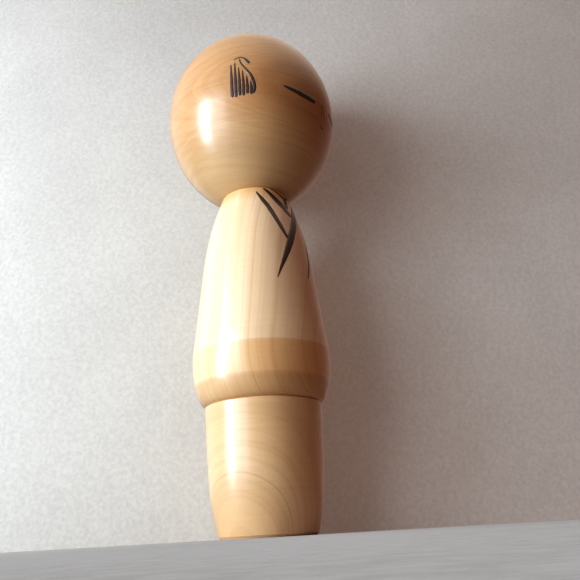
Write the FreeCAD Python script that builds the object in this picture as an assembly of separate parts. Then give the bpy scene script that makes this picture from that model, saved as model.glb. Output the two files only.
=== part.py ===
"""Kokeshi doll: a turned wooden doll of three lathe blocks joined on two loose dowels.

Frame: millimetres, +Z up the lathe axis, origin at the centre of the foot's flat face, face towards -Y.
Every piece is a solid of revolution about Z, so an outline here is a list of edges in the XZ plane.
"""

import FreeCAD, Part
import math
import os

V = FreeCAD.Vector

# Heights on the lathe axis.
HEIGHT = 240.0
SEAM_Z = 53.1            # torso meets base
HIP_Z = 71.8             # widest ring of the torso
NECK_Z = 151.9           # flat seat between torso and head

# Head: half an ellipse, taller than wide, cut flat under the chin.
HEAD_R = 40.5
HEAD_CENTRE_Z = 194.5
HEAD_HALF_HEIGHT = HEIGHT - HEAD_CENTRE_Z

# Torso.
HIP_R = 30.2
TUCK_R = 24.8            # hip tucked in, at the seam
HIP_ROUND_R = 6.0        # radial half-axis of the round under the hip
FLANK = [(28.9, 85.0), (25.0, 115.5), (19.1, 142.0)]
SHOULDER_RIM_R = 15.3    # edge of the flat top
RIM_ROUND = 1.0

# Base: foot, two rings up its bulged side, and the top at the seam.
FOOT_R = 20.7
BASE_TOP_R = 25.2
BASE_SIDE = [(23.1, 13.3), (24.6, 33.0)]
FOOT_BEVEL = 1.0
SEAM_BEVEL = 0.35        # breaks both edges of the seam

# Dowels and their holes.
NECK_DOWEL_R = 5.0
NECK_DOWEL_IN_HEAD = 22.0
NECK_DOWEL_IN_TORSO = 24.0
NECK_RUNNING_GAP = 0.05  # radial, so that the head turns by hand
WAIST_DOWEL_R = 7.0
WAIST_DOWEL_HALF = 18.0
HOLE_SPARE = 2.0         # room past a dowel's end, for glue and air
DOWEL_BEVEL = 1.0


def point(radius, z):
    return V(radius, 0, z)


def polyline(points):
    """Straight edges through (radius, z) points."""
    ends = [point(*p) for p in points]
    return [Part.LineSegment(a, b).toShape() for a, b in zip(ends, ends[1:])]


def curve(points, start_tangent=None):
    """One smooth edge through (radius, z) points."""
    spline = Part.BSplineCurve()
    through = [point(*p) for p in points]
    if start_tangent is None:
        spline.interpolate(through)
    else:
        end_tangent = through[-1] - through[-2]
        spline.interpolate(Points=through, InitialTangent=start_tangent, FinalTangent=end_tangent)
    return [spline.toShape()]


def ellipse_arc(centre, half_r, half_z, start, end):
    """The stretch from start to end, both (radius, z), of an ellipse with its axes along X and Z."""
    middle = point(*centre)
    along_z, along_x = middle + V(0, 0, half_z), middle + V(half_r, 0, 0)
    ellipse = Part.Ellipse(along_z, along_x, middle)
    first, last = sorted(ellipse.parameter(point(*p)) for p in (start, end))
    return [Part.ArcOfEllipse(ellipse, first, last).toShape()]


def turned(edges):
    """The solid of a closed outline turned once round the Z axis."""
    wire = Part.Wire(Part.__sortEdges__(edges))
    solid = Part.Face(wire).revolve(V(0, 0, 0), V(0, 0, 1), 360)
    return solid if solid.Volume > 0 else solid.reversed()


def ellipse_radius(centre_z, half_r, half_z, z):
    return half_r * math.sqrt(1 - ((z - centre_z) / half_z) ** 2)


def hole(radius, z, depth):
    """The cutter for a blind hole on the axis. Its mouth is at z, and a negative depth goes down."""
    return Part.makeCylinder(radius, abs(depth), V(0, 0, min(z, z + depth)))


def dowel(radius, low_z, high_z):
    b = DOWEL_BEVEL
    outline = [(0, low_z), (radius - b, low_z), (radius, low_z + b), (radius, high_z - b),
               (radius - b, high_z), (0, high_z), (0, low_z)]
    return turned(polyline(outline))


def make_head():
    chin_r = ellipse_radius(HEAD_CENTRE_Z, HEAD_R, HEAD_HALF_HEIGHT, NECK_Z)
    ball = ellipse_arc((0, HEAD_CENTRE_Z), HEAD_R, HEAD_HALF_HEIGHT, (0, HEIGHT), (chin_r, NECK_Z))
    head = turned(ball + polyline([(0, HEIGHT), (0, NECK_Z), (chin_r, NECK_Z)]))
    return head.cut(hole(NECK_DOWEL_R, NECK_Z, NECK_DOWEL_IN_HEAD + HOLE_SPARE))


def make_neck_dowel():
    return dowel(NECK_DOWEL_R, NECK_Z - NECK_DOWEL_IN_TORSO, NECK_Z + NECK_DOWEL_IN_HEAD)


def make_torso():
    round_centre = (HIP_R - HIP_ROUND_R, HIP_Z)
    inset = (round_centre[0] - TUCK_R) / HIP_ROUND_R
    half_z = (HIP_Z - SEAM_Z - SEAM_BEVEL) / math.sqrt(1 - inset ** 2)
    tuck = (TUCK_R, SEAM_Z + SEAM_BEVEL)
    under_hip = ellipse_arc(round_centre, HIP_ROUND_R, half_z, tuck, (HIP_R, HIP_Z))
    flank = curve([(HIP_R, HIP_Z)] + FLANK + [(SHOULDER_RIM_R, NECK_Z)], start_tangent=V(0, 0, 1))
    ends = polyline([(SHOULDER_RIM_R, NECK_Z), (0, NECK_Z), (0, SEAM_Z), (TUCK_R - SEAM_BEVEL, SEAM_Z), tuck])
    torso = turned(under_hip + flank + ends)
    rim = [e for e in torso.Edges if e.BoundBox.ZLength < 1e-6 and abs(e.BoundBox.ZMax - NECK_Z) < 1e-6]
    torso = torso.makeFillet(RIM_ROUND, rim)
    neck_hole = hole(NECK_DOWEL_R + NECK_RUNNING_GAP, NECK_Z, -(NECK_DOWEL_IN_TORSO + HOLE_SPARE))
    waist_hole = hole(WAIST_DOWEL_R, SEAM_Z, WAIST_DOWEL_HALF + HOLE_SPARE)
    return torso.cut(neck_hole).cut(waist_hole)


def make_waist_dowel():
    return dowel(WAIST_DOWEL_R, SEAM_Z - WAIST_DOWEL_HALF, SEAM_Z + WAIST_DOWEL_HALF)


def make_base():
    foot, top = (FOOT_R, FOOT_BEVEL), (BASE_TOP_R, SEAM_Z - SEAM_BEVEL)
    side = curve([foot] + BASE_SIDE + [top])
    ends = polyline([top, (BASE_TOP_R - SEAM_BEVEL, SEAM_Z), (0, SEAM_Z), (0, 0),
                     (FOOT_R - FOOT_BEVEL, 0), foot])
    return turned(side + ends).cut(hole(WAIST_DOWEL_R, SEAM_Z, -(WAIST_DOWEL_HALF + HOLE_SPARE)))


PIECES = {
    "head": make_head,
    "neck_dowel": make_neck_dowel,
    "torso": make_torso,
    "waist_dowel": make_waist_dowel,
    "base": make_base,
}

os.makedirs("parts", exist_ok=True)
for name, make in PIECES.items():
    shape = make()
    shape.exportStep(f"parts/{name}.step")
    box = shape.BoundBox
    print(f"{name}: valid {shape.isValid()}, {len(shape.Solids)} solid, {shape.Volume / 1000:.1f} cm3,"
          f" z {box.ZMin:.2f} to {box.ZMax:.2f}, width {box.XLength:.2f}")
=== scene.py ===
"""Looks of the kokeshi doll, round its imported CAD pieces.

Procedural wood under a clear coat, brushed ink as thin strips on the wood, a camera and soft window light.
Lengths are in metres, and in millimetres where a comment or a function says so.
"""

import math

import bpy
import mathutils
from mathutils import Matrix, Vector
from mathutils.bvhtree import BVHTree


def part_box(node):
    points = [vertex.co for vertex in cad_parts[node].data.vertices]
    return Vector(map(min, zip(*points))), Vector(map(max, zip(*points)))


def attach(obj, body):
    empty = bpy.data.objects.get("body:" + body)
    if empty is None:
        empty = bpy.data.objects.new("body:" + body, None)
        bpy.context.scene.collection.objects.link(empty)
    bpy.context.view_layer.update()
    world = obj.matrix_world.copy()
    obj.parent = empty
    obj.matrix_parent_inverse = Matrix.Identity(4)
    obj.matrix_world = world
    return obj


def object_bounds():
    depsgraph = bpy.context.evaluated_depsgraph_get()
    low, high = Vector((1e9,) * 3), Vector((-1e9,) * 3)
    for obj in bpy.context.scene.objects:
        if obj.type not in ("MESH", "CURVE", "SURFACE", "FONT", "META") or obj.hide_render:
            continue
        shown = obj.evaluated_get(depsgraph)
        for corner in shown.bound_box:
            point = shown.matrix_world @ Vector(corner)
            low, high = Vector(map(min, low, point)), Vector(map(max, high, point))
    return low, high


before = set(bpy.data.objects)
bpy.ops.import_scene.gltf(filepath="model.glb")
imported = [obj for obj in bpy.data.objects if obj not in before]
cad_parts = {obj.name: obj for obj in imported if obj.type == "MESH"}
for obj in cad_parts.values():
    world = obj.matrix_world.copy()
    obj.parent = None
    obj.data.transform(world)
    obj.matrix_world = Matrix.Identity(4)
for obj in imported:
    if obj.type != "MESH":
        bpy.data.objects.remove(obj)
cad_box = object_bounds()

MM = 0.001
HEIGHT = cad_box[1].z
NECK_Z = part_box("head")[0].z
HEAD_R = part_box("head")[1].x
HIP_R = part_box("torso")[1].x


def rgb(red, green, blue):
    """A linear colour from display values out of 255."""
    parts = [value / 255 for value in (red, green, blue)]
    return (*(part / 12.92 if part <= 0.04045 else ((part + 0.055) / 1.055) ** 2.4 for part in parts), 1.0)


# Camera, as an orbit round the lathe axis. Azimuth 0 faces the doll and a negative one sees its right side.
CAMERA_AZIMUTH = math.radians(-56.5)
CAMERA_DISTANCE = 1.2242 * HEIGHT
CAMERA_HEIGHT = 0.0039 * HEIGHT
CAMERA_PITCH = math.radians(19.684)
CAMERA_YAW = math.radians(2.81)
CAMERA_ROLL = math.radians(-3.34)
CAMERA_LENS = 42.2
NEAR_CLIP = 2 * MM

# Finish of the turned wood and of the ink under the same clear coat.
WOOD_ROUGHNESS = 0.42
INK_ROUGHNESS = 0.5
COAT_WEIGHT = 0.85
COAT_ROUGHNESS = 0.21
WOOD_RELIEF = 0.02 * MM
INK_RELIEF = 0.01 * MM

# How fast each pattern changes, per millimetre along X, Y and the lathe axis.
PITH_GRAIN = (0.03, 0.03, 0.011)
FIBRE_GRAIN = (2.6, 2.6, 0.12)
LATHE_GRAIN = (0.02, 0.02, 0.9)
CLOUD_GRAIN = (0.05, 0.05, 0.03)
INK_GRAIN = (1.6, 1.6, 1.6)
FIBRE_STRENGTH = 0.25
CLOUD_STRENGTH = 0.25
RING_UNEVENNESS = 0.9
RING_EDGE = (0.62, 0.97)         # part of a growth ring over which it darkens to its edge
FAINTEST_RING = 0.35

# Marks in the wood, with heights, widths and distances in millimetres.
PALE_RING_Z = 173.7
PALE_RING_HALF_WIDTH = 0.15
PALE_RING_STRENGTH = 0.17
PALE_RING_COLOUR = rgb(236, 196, 146)
# Painted bounce light: the head is painted paler and greyer towards the chin, as if lit from the pale torso
# below.
CHIN_BOUNCE_TOP_Z = 190.0
CHIN_BOUNCE_STRENGTH = 0.65
CHIN_BOUNCE_COLOUR = rgb(198, 170, 126)
BAND_TOP_Z = 75.2                # the tone changes just above the torso's widest ring,
BAND_TOP_FADE = (BAND_TOP_Z - 1.0, BAND_TOP_Z + 1.3)
BAND_LOW_Z = 62.2                # and again where it tucks in
BAND_LOW_FADE = (BAND_LOW_Z - 1.2, BAND_LOW_Z + 0.6)
HIP_TINT = (0.88, 0.74, 0.56, 1.0)
# The side of the torso towards the windows. The hip's darker band is painted weaker there: painted light.
LIT_SIDE = (-0.552, 0.834, 0.0)
LIT_SIDE_FADE = (-5.0, 28.0)    # distance towards the lit side over which the hip's tint is painted weaker: painted light
LIT_SIDE_TINT = 0.45
# Below the tuck the wood is darker, partly its own tone and partly painted shade under the hip.
TUCK_TONE_AND_SHADE_TINT = (0.82, 0.80, 0.76, 1.0)
TUCK_TONE_AND_SHADE_COLOUR = rgb(206, 166, 116)
TUCK_TONE_AND_SHADE_SHARE = 0.5
ARC_SCALE = 1.5
ARC_STRENGTH = 0.12
# Painted shade from the head on the torso just under its rim, warm like light thrown back from the head.
HEAD_SHADE_Z = 149.0
HEAD_SHADE_FADE = (HEAD_SHADE_Z - 6.0, HEAD_SHADE_Z + 2.0)
HEAD_SHADE_TINT = (0.92, 0.77, 0.58, 1.0)
SCORE_HALF_WIDTH = 0.12
SCORE_STRENGTH = 0.14
SCORE_COLOUR = rgb(140, 88, 52)
VEIN_DISTANCE = 34.4             # of the base's one dark ring from its pith
VEIN_HALF_WIDTH = 0.07
VEIN_STRENGTH = 0.22
VEIN_COLOUR = rgb(140, 104, 58)

# Windows stand upright on the left of the view. They face the lathe axis, but for the bright one's turn.
BRIGHT_WINDOW = CAMERA_AZIMUTH + math.radians(-64)
DIM_WINDOW = CAMERA_AZIMUTH + math.radians(-45)
WINDOW_DISTANCE = 0.49
WINDOW_SILL = 3 * MM
WINDOW_HEAD = 345 * MM
TOP_PANE_SILL = 225 * MM
BRIGHT_WIDTH = 128 * MM
BRIGHT_RADIANCE = 11.6
BRIGHT_TURN = math.radians(-16)
DIM_WIDTH = 235 * MM
DIM_RADIANCE = 2.65
TOP_PANE_WIDTH = 215 * MM
TOP_PANE_RADIANCE = 3.8
DAYLIGHT = (0.88, 0.97, 1.10)

# The room's colours by direction: what lights a matt surface and what a glossy one mirrors. The camera sees
# SEEN_ROOM in every direction.
ROOM_LIGHT = {"walls": (0.090, 0.013, 0.009, 1.0), "behind": (0.60, 0.53, 0.48, 1.0),
              "left": (0.56, 0.59, 0.60, 1.0), "window": (0.42, 0.44, 0.48, 1.0),
              "ceiling": (0.30, 0.27, 0.25, 1.0)}
ROOM_SHINE = {"walls": (0.110, 0.050, 0.040, 1.0), "behind": (0.28, 0.21, 0.19, 1.0),
              "left": (0.75, 0.75, 0.75, 1.0), "window": (0.30, 0.25, 0.22, 1.0),
              "ceiling": (0.80, 0.68, 0.56, 1.0)}
SEEN_ROOM = (0.44, 0.43, 0.41, 1.0)
# Where each begins to show over the walls and where it is full: cosines of the angle from its middle.
ROOM_SPREAD = {"behind": (0.25, 0.9), "left": (0.1, 0.6), "window": (0.6, 0.98), "ceiling": (0.50, 0.92)}

# Floor and backdrop sheet. The sheet leans on the doll's head and hip from behind, a hair away from both.
FLOOR_REACH = 1.5
SHEET_HALF_WIDTH = 0.27
SHEET_TOP = 0.46
SHEET_GAP = 0.3 * MM
LEANS_ON_HEAD_Z = 194.5 * MM
LEANS_ON_HIP_Z = 71.8 * MM
CLOTH_COLOUR = rgb(187, 187, 179)
FLOOR_COLOUR = rgb(174, 179, 177)
FLOOR_FADE = (0.33, 0.62)        # distances from the doll between which a cloth fades from the camera's sight
SHEET_FADE = (0.44, 0.64)
CLOTH_GLOW = 0.088               # the room's light on the cloth, over and above what reaches the doll
CLOTH_GLOW_COLOUR = (1.0, 0.78, 0.69, 1.0)
# Painted shade on the floor near the windows, to hold down the light there.
WINDOW_PAINTED_SHADE = (0.42, 0.42, 0.42, 1.0)
WINDOW_PAINTED_SHADE_FADE = (90.0, 420.0)     # millimetres from the window's foot
BOUNCE_LEFT = (0.70, 0.79, 0.84, 1.0)
BOUNCE_RIGHT = (0.44, 0.30, 0.24, 1.0)
BOUNCE_FADE = (-160.0, 200.0)    # millimetres towards the left of the view

# Ink strokes: how far they stand above and sink below the wood, and how they are built.
INK_EDGE_LIFT = 0.04 * MM
INK_MIDDLE_LIFT = 0.07 * MM
INK_SINK = 0.12 * MM
STROKE_STEP = 0.35 * MM
THINNEST_STROKE = 0.05 * MM
THINNEST_END = 0.06              # of the stroke's own width
WOBBLE = 0.10
WOBBLE_LENGTH = 2.5 * MM
WOBBLE_SEED_STEP = 7.3
ACROSS = (-1.0, -0.5, 0.0, 0.5, 1.0)
RAY_START = 0.1
RIM_MARGIN = 0.15 * MM


def level(azimuth):
    """The level direction this far round from the doll's face."""
    return Vector((math.sin(azimuth), -math.cos(azimuth), 0))


def left_of_view():
    return level(CAMERA_AZIMUTH - math.pi / 2)


# ---- node trees ----

class Tree:
    """The node tree of a material or world, built by calls that take and give sockets."""

    def __init__(self, owner):
        self.owner = owner
        owner.use_nodes = True
        self.nodes = owner.node_tree.nodes
        self.links = owner.node_tree.links
        self.nodes.clear()

    def node(self, kind, settings=None, **inputs):
        made = self.nodes.new(kind)
        for name, value in (settings or {}).items():
            setattr(made, name, value)
        for name, value in inputs.items():
            self.feed(made.inputs[name.replace("_", " ")], value)
        return made

    def feed(self, socket, value):
        if isinstance(value, bpy.types.NodeSocket):
            self.links.new(value, socket)
        else:
            socket.default_value = value

    def math(self, operation, a, b=0.0):
        made = self.node("ShaderNodeMath", {"operation": operation})
        self.feed(made.inputs[0], a)
        self.feed(made.inputs[1], b)
        return made.outputs[0]

    def vector(self, operation, a, b=(0, 0, 0)):
        made = self.node("ShaderNodeVectorMath", {"operation": operation})
        self.feed(made.inputs[0], a)
        self.feed(made.inputs[1], b)
        return made.outputs["Value" if operation in ("LENGTH", "DOT_PRODUCT") else "Vector"]

    def dot(self, a, b):
        return self.vector("DOT_PRODUCT", a, b)

    def noise(self, place, scale=1.0, detail=2.0, roughness=0.5):
        made = self.node("ShaderNodeTexNoise", Vector=place, Scale=scale, Detail=detail,
                         Roughness=roughness)
        return made.outputs["Fac"]

    def noise_along(self, distance, scale=1.0, detail=2.0, roughness=0.5):
        """Noise that changes with one number only."""
        made = self.node("ShaderNodeTexNoise", {"noise_dimensions": "1D"}, W=distance, Scale=scale,
                         Detail=detail, Roughness=roughness)
        return made.outputs["Fac"]

    def step(self, value, low, high, to_low=0.0, to_high=1.0):
        """Smooth change from to_low to to_high as value goes from low to high."""
        made = self.node("ShaderNodeMapRange", {"interpolation_type": "SMOOTHSTEP"})
        for socket, number in zip(made.inputs, (value, low, high, to_low, to_high)):
            self.feed(socket, number)
        return made.outputs[0]

    def mix(self, amount, a, b, blend="MIX"):
        made = self.node("ShaderNodeMix", {"data_type": "RGBA", "blend_type": blend})
        self.feed(made.inputs[0], amount)
        self.feed(made.inputs[6], a)
        self.feed(made.inputs[7], b)
        return made.outputs[2]

    def bump(self, height, depth, strength=1.0):
        made = self.node("ShaderNodeBump", Height=height, Distance=depth, Strength=strength)
        return made.outputs["Normal"]

    def surface(self, **inputs):
        """The material, with its surface a Principled shader with these inputs."""
        shader = self.node("ShaderNodeBsdfPrincipled", **inputs)
        self.node("ShaderNodeOutputMaterial", Surface=shader.outputs[0])
        return self.owner


# ---- wood ----

def surface_place(tree):
    """The surface point in the doll's own frame, in millimetres."""
    place = tree.node("ShaderNodeTexCoord").outputs["Object"]
    return tree.vector("MULTIPLY", place, (1 / MM,) * 3)


def height_of(tree, place):
    return tree.node("ShaderNodeSeparateXYZ", Vector=place).outputs["Z"]


def ring_distance(tree, place, pith, lean, wander):
    """Distance in millimetres from a leaning, wandering pith line. Growth rings are where it is equal."""
    drift = tree.noise(tree.vector("MULTIPLY", place, PITH_GRAIN), detail=1.5)
    parts = tree.node("ShaderNodeSeparateXYZ", Vector=place)
    side = []
    for axis in range(2):
        leaning = tree.math("MULTIPLY", parts.outputs["Z"], lean[axis])
        offset = tree.math("ADD", parts.outputs[axis], leaning)
        side.append(tree.math("SUBTRACT", offset, pith[axis]))
    flat = tree.node("ShaderNodeCombineXYZ", X=side[0], Y=side[1], Z=0.0).outputs[0]
    swing = tree.math("MULTIPLY", tree.math("SUBTRACT", drift, 0.5), wander)
    return tree.math("ADD", tree.vector("LENGTH", flat), swing)


def ring_edges(tree, distance, ring_mm):
    """0 to 1, rising to the dark edge of each growth ring. Some rings are fainter than others."""
    uneven = tree.math("MULTIPLY", tree.noise_along(distance, 0.4 / ring_mm, detail=1.0), RING_UNEVENNESS)
    phase = tree.math("FRACT", tree.math("ADD", tree.math("DIVIDE", distance, ring_mm), uneven))
    faint = tree.step(tree.noise_along(distance, 0.23, detail=1.0), 0.35, 0.65, FAINTEST_RING, 1.0)
    return tree.math("MULTIPLY", tree.step(phase, *RING_EDGE), faint)


def wood(name, light, dark, line, pith, lean, ring_mm,
         wander=3.0, edges=0.5, threads=0.3, turning=0.2, marks=None):
    """Turned wood under a clear coat.

    light and dark are its two tones and line the colour of a growth ring's edge. edges, threads and turning
    say how strongly the ring edges, the hair-fine threads of the grain and the rings left by the lathe show.
    """
    tree = Tree(bpy.data.materials.new(name))
    place = surface_place(tree)
    distance = ring_distance(tree, place, pith, lean, wander)
    broad = tree.noise_along(distance, 0.45 / ring_mm, detail=2.0)
    thread = tree.noise_along(distance, 1.1, detail=3.0, roughness=0.7)
    fibre = tree.noise(tree.vector("MULTIPLY", place, FIBRE_GRAIN), detail=3.0, roughness=0.6)
    lathe = tree.noise(tree.vector("MULTIPLY", place, LATHE_GRAIN), detail=4.0, roughness=0.7)
    cloud = tree.noise(tree.vector("MULTIPLY", place, CLOUD_GRAIN), detail=3.0)
    colour = tree.mix(tree.step(broad, 0.30, 0.70), light, dark)
    colour = tree.mix(tree.step(cloud, 0.35, 0.70, 0.0, CLOUD_STRENGTH), colour, dark)
    colour = tree.mix(tree.math("MULTIPLY", ring_edges(tree, distance, ring_mm), edges), colour, line)
    colour = tree.mix(tree.step(thread, 0.45, 0.75, 0.0, threads), colour, line)
    colour = tree.mix(tree.step(lathe, 0.45, 0.75, 0.0, turning), colour, line)
    colour = tree.mix(tree.step(fibre, 0.42, 0.75, 0.0, FIBRE_STRENGTH), colour, dark)
    if marks:
        colour = marks(tree, place, distance, colour)
    relief = tree.math("ADD", tree.math("MULTIPLY", fibre, 0.5), tree.math("MULTIPLY", lathe, 0.8))
    uneven = tree.math("ADD", fibre, cloud)
    return tree.surface(
        Base_Color=colour,
        Roughness=tree.step(uneven, 0.8, 1.3, WOOD_ROUGHNESS - 0.06, WOOD_ROUGHNESS + 0.08),
        Coat_Weight=COAT_WEIGHT,
        Coat_Roughness=COAT_ROUGHNESS,
        Normal=tree.bump(relief, WOOD_RELIEF),
    )


def line_at(tree, value, centre, half_width, strength):
    """strength where value is within half_width of centre, fading to 0 over as much again."""
    away = tree.math("ABSOLUTE", tree.math("SUBTRACT", value, centre))
    return tree.step(away, half_width, 2 * half_width, strength, 0.0)


def head_marks(tree, place, distance, colour):
    """A pale ring cut by the lathe below the ears, and painted bounce light that pales the wood a little
    towards the chin.
    """
    height = height_of(tree, place)
    ring = line_at(tree, height, PALE_RING_Z, PALE_RING_HALF_WIDTH, PALE_RING_STRENGTH)
    colour = tree.mix(ring, colour, PALE_RING_COLOUR)
    # Painted bounce light, strongest at the neck and gone above the eyes.
    return tree.mix(tree.step(height, NECK_Z / MM, CHIN_BOUNCE_TOP_Z, CHIN_BOUNCE_STRENGTH, 0.0), colour, CHIN_BOUNCE_COLOUR)


def tucked_tone_and_shade(tree, distance, colour):
    """The wood where the hip tucks in, darker in its own tone and by painted shade under the hip, crossed by
    faint arcs of the grain.
    """
    tucked = tree.mix(TUCK_TONE_AND_SHADE_SHARE, tree.mix(1.0, colour, TUCK_TONE_AND_SHADE_TINT, "MULTIPLY"), TUCK_TONE_AND_SHADE_COLOUR)
    arcs = tree.step(tree.noise_along(distance, ARC_SCALE, detail=2.0), 0.45, 0.62, 0.0, ARC_STRENGTH)
    return tree.mix(arcs, tucked, SCORE_COLOUR)


def torso_marks(tree, place, distance, colour):
    """A torso that is darker from its widest ring down, with that band weakened towards the windows by
    painted light, darker again where it tucks in, partly by painted shade, and with painted shade from the
    head at its rim.

    Each change of tone at the hip has a fine scored line.
    """
    height = height_of(tree, place)
    tanned = tree.mix(1.0, colour, HIP_TINT, "MULTIPLY")
    # Painted light: the hip's band weakens towards the windows.
    lit_side_fading = tree.step(tree.dot(place, LIT_SIDE), *LIT_SIDE_FADE, 1.0, LIT_SIDE_TINT)
    below = tree.step(height, *BAND_TOP_FADE, 1.0, 0.0)
    colour = tree.mix(tree.math("MULTIPLY", below, lit_side_fading), colour, tanned)
    tucked = tucked_tone_and_shade(tree, distance, colour)
    colour = tree.mix(tree.step(height, *BAND_LOW_FADE, 1.0, 0.0), colour, tucked)
    # Painted shade from the head over the torso's rim.
    head_shade = tree.mix(1.0, colour, HEAD_SHADE_TINT, "MULTIPLY")
    colour = tree.mix(tree.step(height, *HEAD_SHADE_FADE), colour, head_shade)
    for z in (BAND_TOP_Z, BAND_LOW_Z):
        colour = tree.mix(line_at(tree, height, z, SCORE_HALF_WIDTH, SCORE_STRENGTH), colour, SCORE_COLOUR)
    return colour


def base_marks(tree, place, distance, colour):
    """One dark growth ring that arches across the base's right side."""
    vein = line_at(tree, distance, VEIN_DISTANCE, VEIN_HALF_WIDTH, VEIN_STRENGTH)
    return tree.mix(vein, colour, VEIN_COLOUR)


def make_woods():
    head = wood("head_wood", rgb(199, 157, 109), rgb(184, 138, 90), rgb(148, 98, 56),
                pith=(4, 7), lean=(0.02, 0.015), ring_mm=3.2, wander=2.5,
                edges=0.22, threads=0.22, turning=0.34, marks=head_marks)
    torso = wood("torso_wood", rgb(243, 217, 178), rgb(234, 204, 162), rgb(186, 140, 98),
                 pith=(-10, 44), lean=(0.03, -0.02), ring_mm=3.1, wander=4.0,
                 edges=0.17, threads=0.12, turning=0.08, marks=torso_marks)
    base = wood("base_wood", rgb(227, 194, 148), rgb(214, 177, 129), rgb(172, 126, 80),
                pith=(18.2, 1.6), lean=(0.32, 0.03), ring_mm=4.2, wander=1.5,
                edges=0.06, threads=0.16, turning=0.12, marks=base_marks)
    dowel = wood("dowel_wood", rgb(226, 190, 140), rgb(206, 164, 112), rgb(170, 124, 80),
                 pith=(30, 5), lean=(0, 0), ring_mm=2.5)
    woods = {"head": head, "torso": torso, "base": base, "neck_dowel": dowel, "waist_dowel": dowel}
    for node, material in woods.items():
        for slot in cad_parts[node].material_slots:
            slot.material = material


# ---- ink ----

def make_ink(name, dark, worn):
    """Brushed ink under the clear coat, paler where the brush ran dry."""
    tree = Tree(bpy.data.materials.new(name))
    place = surface_place(tree)
    dry = tree.noise(tree.vector("MULTIPLY", place, INK_GRAIN), detail=4.0, roughness=0.7)
    colour = tree.mix(tree.step(dry, 0.45, 0.75), dark, worn)
    return tree.surface(
        Base_Color=colour,
        Roughness=tree.step(dry, 0.3, 0.7, INK_ROUGHNESS - 0.08, INK_ROUGHNESS + 0.1),
        Coat_Weight=COAT_WEIGHT,
        Coat_Roughness=COAT_ROUGHNESS,
        Normal=tree.bump(dry, INK_RELIEF),
    )


class Turned:
    """The outer surface of a turned CAD node."""

    def __init__(self, node):
        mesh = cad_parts[node].data
        corners = [v.co.copy() for v in mesh.vertices]
        self.tree = BVHTree.FromPolygons(corners, [tuple(p.vertices) for p in mesh.polygons])
        self.top = max(c.z for c in corners) - RIM_MARGIN

    def at(self, angle, z):
        """(point, outward normal) at a height and an angle from the face, positive to the doll's left."""
        out = level(angle)
        z = min(z, self.top)
        hit, normal, _, _ = self.tree.ray_cast(out * RAY_START + Vector((0, 0, z)), -out)
        return hit, normal if normal.dot(out) > 0 else -normal

    def under(self, point):
        """The surface level with a point near it."""
        return self.at(math.atan2(point.x, -point.y), point.z)


def between(before, start, end, after, t):
    """A point t of the way from start to end on the smooth curve through four knots."""
    return 0.5 * (2 * start + (end - before) * t
                  + (2 * before - 5 * start + 4 * end - after) * t ** 2
                  + (3 * start - before - 3 * end + after) * t ** 3)


def smooth_path(points):
    """(angle, z, width) at even steps along a smooth curve through (degrees, mm, mm) points."""
    knots = [Vector((math.radians(a), z * MM, w * MM)) for a, z, w in points]
    knots = [2 * knots[0] - knots[1]] + knots + [2 * knots[-1] - knots[-2]]
    path = []
    for before, start, end, after in zip(knots, knots[1:], knots[2:], knots[3:]):
        span = math.hypot((end.x - start.x) * HEAD_R, end.y - start.y)
        count = max(2, round(span / STROKE_STEP))
        path += [between(before, start, end, after, i / count) for i in range(count)]
    path.append(knots[-2])
    return path


def rounded_end(run, half_width):
    """How much of its width a stroke has, this far from its end."""
    if run >= half_width:
        return 1.0
    return math.sqrt(max(0.0, 1 - (1 - run / half_width) ** 2))


def stroke_ring(surface, centre, side, half_width):
    """Points across a stroke: a row on top of the wood and a row sunk in it."""
    ring = []
    for edge, middle in ((INK_EDGE_LIFT, INK_MIDDLE_LIFT), (-INK_SINK, -INK_SINK)):
        for t in ACROSS:
            hit, out = surface.under(centre + side * (t * half_width))
            ring.append(hit + out * (middle + (edge - middle) * abs(t)))
    return ring


def tube_faces(rings):
    """Faces joining this many stroke rings one to the next, and one face to close each end."""
    n = len(ACROSS)
    around = list(range(n)) + list(range(2 * n - 1, n - 1, -1))
    faces = []
    for i in range(rings - 1):
        here, there = i * 2 * n, (i + 1) * 2 * n
        for a, b in zip(around, around[1:] + around[:1]):
            faces.append((here + a, here + b, there + b, there + a))
    faces.append(tuple(reversed(around)))
    faces.append(tuple((rings - 1) * 2 * n + a for a in around))
    return faces


def stroke_mesh(surface, points, wobble_seed):
    """(vertices, faces) of one brush stroke: a thin closed strip that follows the surface."""
    path = smooth_path(points)
    centres = [surface.at(p.x, p.y) for p in path]
    places = [point for point, _ in centres]
    runs = [0.0]
    for a, b in zip(places, places[1:]):
        runs.append(runs[-1] + (b - a).length)
    vertices = []
    last = len(path) - 1
    for i, (centre, normal) in enumerate(centres):
        along = (places[min(i + 1, last)] - places[max(i - 1, 0)]).normalized()
        side = along.cross(normal).normalized()
        half = max(path[i].z, THINNEST_STROKE) / 2
        half *= max(THINNEST_END, rounded_end(min(runs[i], runs[-1] - runs[i]), half))
        half *= 1 + WOBBLE * mathutils.noise.noise(Vector((runs[i] / WOBBLE_LENGTH, wobble_seed, 0)))
        vertices += stroke_ring(surface, centre, side, half)
    return vertices, tube_faces(len(path))


def painted(name, node, body, strokes, material):
    """One piece made of brush strokes on a turned node."""
    surface = Turned(node)
    vertices, faces = [], []
    for seed, points in enumerate(strokes):
        more, strip = stroke_mesh(surface, points, seed * WOBBLE_SEED_STEP)
        faces += [tuple(v + len(vertices) for v in face) for face in strip]
        vertices += more
    mesh = bpy.data.meshes.new(name)
    mesh.from_pydata(vertices, [], faces)
    mesh.update()
    for polygon in mesh.polygons:
        polygon.use_smooth = True
    mesh.materials.append(material)
    piece = bpy.data.objects.new(name, mesh)
    bpy.context.scene.collection.objects.link(piece)
    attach(piece, body)


def mirrored(stroke):
    """The same stroke on the doll's other side."""
    return [(-angle, z, width) for angle, z, width in stroke]


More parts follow.
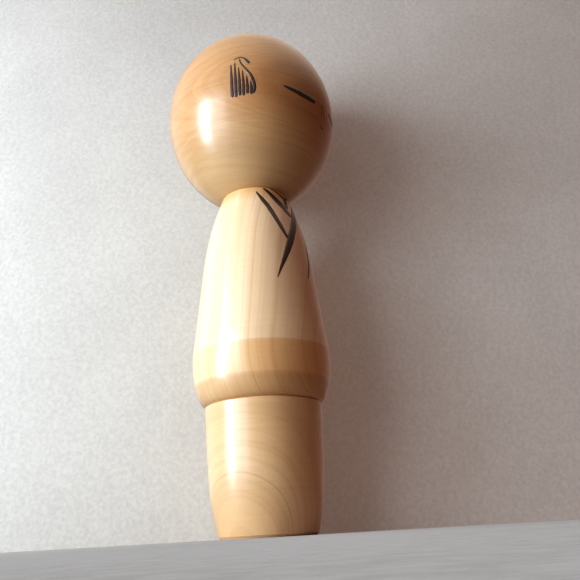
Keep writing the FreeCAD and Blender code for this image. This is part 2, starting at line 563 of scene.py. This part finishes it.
# Strokes are (degrees round from the face's middle, height, width) in degrees and millimetres.
EYE_RIGHT = [(-34.6, 190.5, 0.8), (-30.0, 189.9, 1.9), (-22.5, 189.2, 2.8), (-16.0, 188.8, 2.9),
             (-10.5, 188.7, 2.5), (-8.0, 188.7, 1.8)]
EYE_LEFT = [(10.5, 189.6, 1.6), (16.5, 189.1, 2.5), (22.5, 189.2, 2.8), (30.0, 189.9, 1.9),
            (34.6, 190.6, 0.8)]
NOSE_RIGHT = [(-0.9, 190.0, 0.2), (-0.9, 186.7, 0.35), (-0.4, 184.2, 0.6)]
NOSE_LEFT = [(0.8, 190.2, 0.2), (2.3, 187.2, 0.35), (4.0, 184.3, 0.6)]
MOUTH = [(-0.4, 179.6, 0.2), (2.3, 179.1, 0.5), (5.0, 179.5, 0.2)]
LOCK_FIRST_ANGLE = -68.3
LOCK_STEP = 2.45
LOCK_TOPS = (201.0, 202.0, 199.0, 197.0, 194.0, 191.3)
LOCK_BOTTOMS = (184.0, 183.9, 184.4, 184.3, 185.1, 184.8)
LOCK_WIDTHS = (0.5, 1.35, 1.5)   # at a hanging stroke's top, middle and bottom
LOCK_BEND = 0.2
LOCK_EDGE = [(-63.0, 204.2, 0.5), (-61.5, 200.8, 0.9), (-58.6, 197.5, 1.0), (-55.7, 194.3, 1.3),
             (-54.1, 190.6, 1.6), (-53.7, 187.7, 1.5), (-54.8, 185.3, 1.1)]
LOCK_CURL = [(-66.4, 203.5, 0.4), (-64.3, 204.6, 0.6), (-61.7, 204.9, 0.9), (-59.0, 203.6, 1.2),
             (-57.2, 201.8, 1.5), (-56.4, 200.8, 1.4)]
# The collar has two lapel lines and a neckline on each side, and its left lapel crosses over the right one.
LAPEL_RIGHT_OUTER = [(-54.0, 148.7, 0.6), (-46.5, 144.3, 1.9), (-39.0, 139.4, 2.4), (-31.4, 133.0, 2.3),
                     (-26.0, 128.1, 2.0), (-20.5, 123.5, 1.5)]
LAPEL_RIGHT_INNER = [(-41.5, 151.1, 0.9), (-33.0, 148.4, 2.1), (-24.3, 144.8, 3.0), (-15.7, 141.2, 3.2),
                     (-9.4, 138.4, 2.8), (-4.4, 136.8, 1.8)]
NECKLINE_RIGHT = [(-29.6, 151.4, 0.4), (-20.0, 150.4, 0.8), (-10.6, 149.0, 1.3), (-4.6, 147.2, 1.9),
                  (-4.6, 144.5, 2.3), (-9.0, 141.2, 2.2)]
NECKLINE_LEFT = [(30.0, 151.2, 0.8), (16.0, 150.3, 1.2), (5.0, 148.6, 1.6), (-3.5, 146.4, 1.8)]
LAPEL_LEFT_INNER = [(38.0, 150.6, 1.2), (24.0, 147.0, 2.6), (9.5, 141.4, 3.4), (-2.0, 134.5, 3.8),
                    (-14.6, 125.3, 3.6), (-24.2, 117.0, 2.8), (-32.0, 109.8, 1.5), (-38.5, 103.0, 0.3)]
LAPEL_LEFT_OUTER = [(53.0, 148.3, 1.0), (44.0, 144.0, 1.8), (34.0, 139.0, 2.0), (25.0, 132.5, 2.0),
                    (17.0, 123.5, 2.0), (11.5, 116.5, 2.0), (6.3, 111.0, 1.5), (0.5, 106.0, 0.5)]


def side_lock():
    """The brushed lock before the doll's right ear: hanging strokes, a curved edge and a curl on top."""
    hanging = []
    for i, (top, bottom) in enumerate(zip(LOCK_TOPS, LOCK_BOTTOMS)):
        angle = LOCK_FIRST_ANGLE + i * LOCK_STEP
        angles = (angle, angle + LOCK_BEND, angle)
        hanging.append(list(zip(angles, (top, (top + bottom) / 2, bottom), LOCK_WIDTHS)))
    return hanging + [LOCK_EDGE, LOCK_CURL]


def make_paint():
    bold = make_ink("ink", rgb(66, 50, 43), rgb(98, 78, 64))
    thin = make_ink("thin_ink", rgb(66, 50, 44), rgb(118, 92, 72))
    lock = side_lock()
    painted("side_lock_right", "head", "head", lock, thin)
    painted("side_lock_left", "head", "head", [mirrored(s) for s in lock], thin)
    painted("eyes", "head", "head", [EYE_RIGHT, EYE_LEFT], bold)
    painted("nose_and_mouth", "head", "head", [NOSE_RIGHT, NOSE_LEFT, MOUTH], thin)
    collar = [LAPEL_RIGHT_OUTER, LAPEL_RIGHT_INNER, NECKLINE_RIGHT,
              NECKLINE_LEFT, LAPEL_LEFT_INNER, LAPEL_LEFT_OUTER]
    painted("collar", "torso", "body", collar, bold)


# ---- stage ----

def plane(name, corners, material):
    mesh = bpy.data.meshes.new(name)
    mesh.from_pydata(corners, [], [tuple(range(len(corners)))])
    mesh.materials.append(material)
    made = bpy.data.objects.new(name, mesh)
    bpy.context.scene.collection.objects.link(made)
    return made


def is_seen(tree):
    """1 for what the camera sees, and 0 for the light that a surface throws on others."""
    return tree.node("ShaderNodeLightPath").outputs["Is Camera Ray"]


def fading_out(tree, near, far):
    """0 near the doll and 1 far from it, between these distances."""
    return tree.step(tree.vector("LENGTH", surface_place(tree)), near / MM, far / MM)


def felt_colour(tree, colour):
    """The colour of plain felt, with its fine nap and faint blotches."""
    place = surface_place(tree)
    nap = tree.step(tree.noise(place, 0.5, detail=5.0, roughness=0.7), 0.30, 0.70, 0.90, 1.07)
    blotch = tree.step(tree.noise(place, 0.02, detail=2.0), 0.3, 0.7, -0.03, 0.03)
    shade = tree.math("ADD", nap, blotch)
    grey = tree.node("ShaderNodeCombineColor", Red=shade, Green=shade, Blue=shade).outputs[0]
    return tree.mix(1.0, grey, colour, "MULTIPLY")


def felt(tree, colour, clear):
    """The material, as matt cloth of this colour that can't be seen where clear is 1."""
    cloth = tree.node("ShaderNodeBsdfPrincipled", Base_Color=colour, Roughness=1.0, Specular_IOR_Level=0.0,
                      Emission_Color=CLOTH_GLOW_COLOUR,
                      Emission_Strength=tree.math("MULTIPLY", is_seen(tree), CLOTH_GLOW))
    mixed = tree.node("ShaderNodeMixShader", Fac=clear)
    tree.feed(mixed.inputs[1], cloth.outputs[0])
    tree.feed(mixed.inputs[2], tree.node("ShaderNodeBsdfTransparent").outputs[0])
    tree.node("ShaderNodeOutputMaterial", Surface=mixed.outputs[0])
    return tree.owner


def make_floor_cloth():
    """Floor felt with painted shade close to the window, where the light is strongest.

    What it throws back on the doll is pale on the left of the view and warm on the right.
    """
    tree = Tree(bpy.data.materials.new("floor_cloth"))
    place = surface_place(tree)
    window = level(DIM_WINDOW) * WINDOW_DISTANCE / MM
    from_window = tree.vector("LENGTH", tree.vector("SUBTRACT", place, window))
    # Painted shade, full at the window's foot and gone further out.
    painted_shade = tree.step(from_window, *WINDOW_PAINTED_SHADE_FADE, 1.0, 0.0)
    seen = tree.mix(painted_shade, felt_colour(tree, FLOOR_COLOUR), WINDOW_PAINTED_SHADE, "MULTIPLY")
    leftward = tree.step(tree.dot(place, left_of_view()), *BOUNCE_FADE)
    colour = tree.mix(is_seen(tree), tree.mix(leftward, BOUNCE_RIGHT, BOUNCE_LEFT), seen)
    return felt(tree, colour, tree.math("MULTIPLY", is_seen(tree), fading_out(tree, *FLOOR_FADE)))


def make_sheet_cloth():
    """Backdrop felt that can't be seen from behind."""
    tree = Tree(bpy.data.materials.new("wall_cloth"))
    behind = tree.node("ShaderNodeNewGeometry").outputs["Backfacing"]
    clear = tree.math("MAXIMUM", behind, fading_out(tree, *SHEET_FADE))
    return felt(tree, felt_colour(tree, CLOTH_COLOUR), clear)


def area_light(name, azimuth, distance, low, high, width, radiance, colour):
    """An upright soft light that faces the lathe axis. azimuth is round from the doll's face."""
    height = high - low
    light = bpy.data.lights.new(name, "AREA")
    light.shape = "RECTANGLE"
    light.size = width
    light.size_y = height
    light.energy = radiance * math.pi * width * height
    light.color = colour
    made = bpy.data.objects.new(name, light)
    out = level(azimuth)
    made.location = out * distance + Vector((0, 0, (low + high) / 2))
    made.rotation_euler = out.to_track_quat("Z", "Y").to_euler()
    made.visible_camera = False
    bpy.context.scene.collection.objects.link(made)
    return made


def make_stage():
    reach = FLOOR_REACH
    plane("floor", [(-reach, -reach, 0), (reach, -reach, 0), (reach, reach, 0), (-reach, reach, 0)],
          make_floor_cloth())
    slope = (HEAD_R - HIP_R) / (LEANS_ON_HEAD_Z - LEANS_ON_HIP_Z)
    foot = HIP_R - slope * LEANS_ON_HIP_Z + SHEET_GAP
    half, top = SHEET_HALF_WIDTH, SHEET_TOP
    head = foot + slope * top
    corners = [(-half, foot, 0), (half, foot, 0), (half, head, top), (-half, head, top)]
    turn = Matrix.Rotation(CAMERA_AZIMUTH, 3, "Z")
    backdrop = plane("backdrop", [turn @ Vector(c) for c in corners], make_sheet_cloth())
    # The sheet is only for the camera's eye, so that it doesn't darken the doll's back.
    backdrop.visible_diffuse = False
    backdrop.visible_glossy = False
    backdrop.visible_shadow = False


def make_lights():
    """A tall bright pane, a wider dim one next to it, and a brighter top to the dim one."""
    bright = area_light("window_bright", BRIGHT_WINDOW, WINDOW_DISTANCE, WINDOW_SILL, WINDOW_HEAD,
                        BRIGHT_WIDTH, BRIGHT_RADIANCE, DAYLIGHT)
    bright.rotation_euler.rotate_axis("Z", BRIGHT_TURN)
    area_light("window_dim", DIM_WINDOW, WINDOW_DISTANCE, WINDOW_SILL, WINDOW_HEAD,
               DIM_WIDTH, DIM_RADIANCE, DAYLIGHT)
    area_light("window_top", DIM_WINDOW, WINDOW_DISTANCE, TOP_PANE_SILL, WINDOW_HEAD,
               TOP_PANE_WIDTH, TOP_PANE_RADIANCE, DAYLIGHT)


def room_colour(tree, direction, colours):
    """The room's colour in a direction: dark walls, paler behind, on the left, by the window and above."""
    middles = {"behind": -level(CAMERA_AZIMUTH), "left": left_of_view(),
               "window": level(BRIGHT_WINDOW), "ceiling": Vector((0, 0, 1))}
    colour = colours["walls"]
    for part, middle in middles.items():
        amount = tree.step(tree.dot(direction, middle), *ROOM_SPREAD[part])
        colour = tree.mix(amount, colour, colours[part])
    return colour


def make_room():
    """The room round the stage. The camera sees plain grey in its place."""
    tree = Tree(bpy.data.worlds.new("room"))
    direction = tree.node("ShaderNodeTexCoord").outputs["Generated"]
    ray = tree.node("ShaderNodeLightPath").outputs
    light = room_colour(tree, direction, ROOM_LIGHT)
    shine = room_colour(tree, direction, ROOM_SHINE)
    colour = tree.mix(ray["Is Camera Ray"], tree.mix(ray["Is Glossy Ray"], light, shine), SEEN_ROOM)
    background = tree.node("ShaderNodeBackground", Color=colour)
    tree.node("ShaderNodeOutputWorld", Surface=background.outputs[0])
    bpy.context.scene.world = tree.owner


def make_camera():
    """A camera low before the doll's right side, looking up and a little past its axis."""
    camera = bpy.data.objects.new("camera", bpy.data.cameras.new("camera"))
    camera.data.lens = CAMERA_LENS
    camera.data.clip_start = NEAR_CLIP
    turn = Matrix.Rotation(CAMERA_AZIMUTH, 4, "Z")
    look = (Matrix.Rotation(-CAMERA_YAW, 4, "Z") @ Matrix.Rotation(CAMERA_PITCH, 4, "X")
            @ Matrix.Rotation(-CAMERA_ROLL, 4, "Y") @ Matrix.Rotation(math.pi / 2, 4, "X"))
    place = Matrix.Translation((0, -CAMERA_DISTANCE, CAMERA_HEIGHT))
    camera.matrix_world = turn @ place @ look
    bpy.context.scene.collection.objects.link(camera)
    bpy.context.scene.camera = camera


make_camera()
make_woods()
make_paint()
make_stage()
make_lights()
make_room()
bpy.context.scene.view_settings.view_transform = "Standard"
bpy.context.scene.view_settings.look = "High Contrast"
